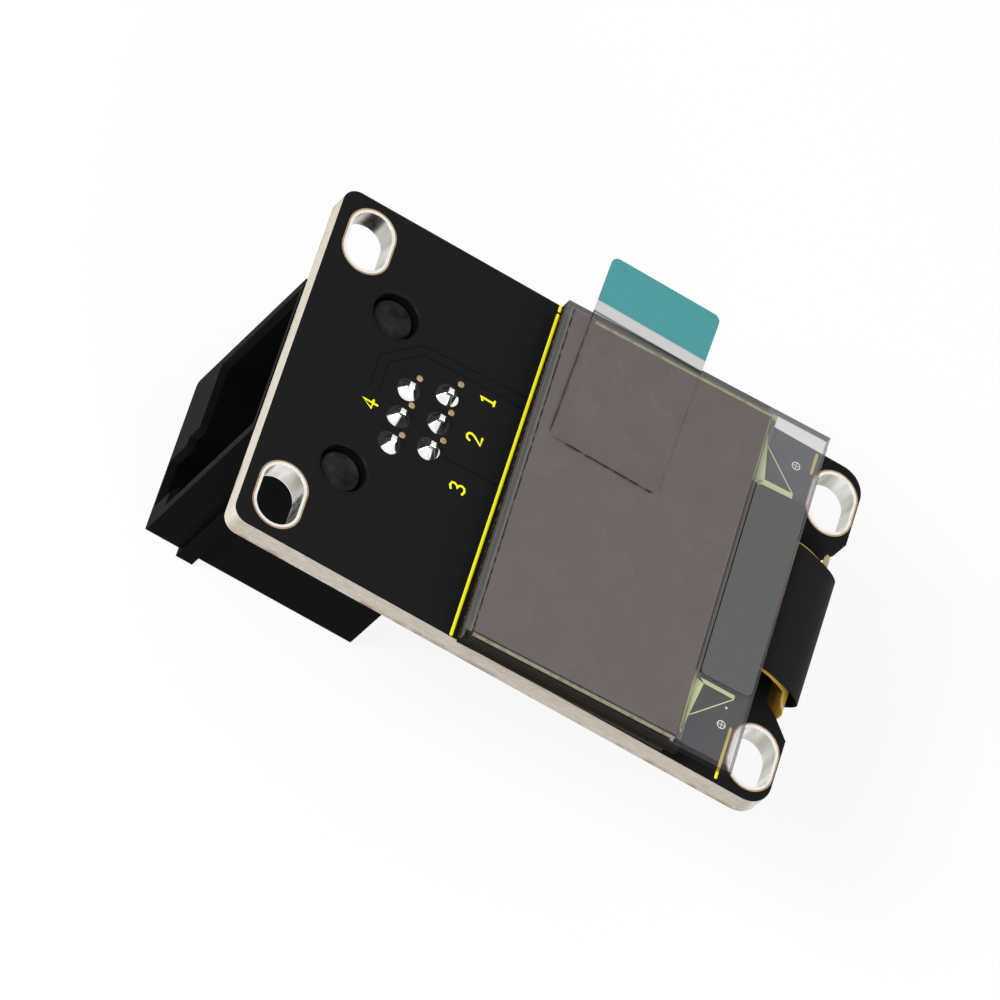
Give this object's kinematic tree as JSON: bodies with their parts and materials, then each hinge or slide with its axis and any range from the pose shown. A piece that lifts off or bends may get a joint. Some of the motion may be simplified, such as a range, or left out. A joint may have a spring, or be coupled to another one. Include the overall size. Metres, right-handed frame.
{
  "type": "display module",
  "caption": "Small circuit board with a monochrome display on its front, a modular jack on its back, a flex folded round its end and slotted corner holes.",
  "frame": {"origin": "middle of the four mounting slots, on the board's front face", "axes": "+Z out of the display's front, +Y towards the jack's mouth, +X along the board's width"},
  "size_m": [0.0311, 0.0391, 0.0191],
  "materials": {
    "block": "moulded",
    "board": "satin solder mask over woven laminate, pale at the cut edge",
    "capacitor": "fired ceramic with tinned ends",
    "chip": "satin",
    "contact": "gold flash over nickel",
    "film": "clear film",
    "flex_base": "amber film",
    "flex_cover": "satin cover film",
    "front_glass": "clear, polished",
    "housing": "fine moulded texture",
    "patch": "satin",
    "plating": "tinned",
    "polariser": "gloss under a film",
    "rear_glass": "dark behind the display area",
    "regulator": "moulded, with tinned leads",
    "resistor": "coated ceramic with tinned ends",
    "solder": "bright solder",
    "tab": "printed film",
    "tape": "foam"
  },
  "bodies": {
    "root": {"capacitor_1": "capacitor", "capacitor_2": "capacitor", "capacitor_3": "capacitor", "capacitor_4": "capacitor", "contact_block": "block", "display_glass": "front_glass", "driver_chip": "chip", "flex_base": "flex_base", "flex_cover": "flex_cover", "jack_contact_1": "contact", "jack_contact_2": "contact", "jack_contact_3": "contact", "jack_contact_4": "contact", "jack_contact_5": "contact", "jack_contact_6": "contact", "jack_housing": "housing", "ledge_patch": "patch", "mounting_tape": "tape", "pcb_board": "board", "polariser": "polariser", "protective_film": "film", "pull_tab": "tab", "rear_glass": "rear_glass", "regulator": "regulator", "resistor_1": "resistor", "resistor_2": "resistor", "resistor_3": "resistor", "resistor_4": "resistor", "slot_plating_1": "plating", "slot_plating_2": "plating", "slot_plating_3": "plating", "slot_plating_4": "plating", "solder_joint_1": "solder", "solder_joint_2": "solder", "solder_joint_3": "solder", "solder_joint_4": "solder", "solder_joint_5": "solder", "solder_joint_6": "solder"}
  },
  "joints": []
}
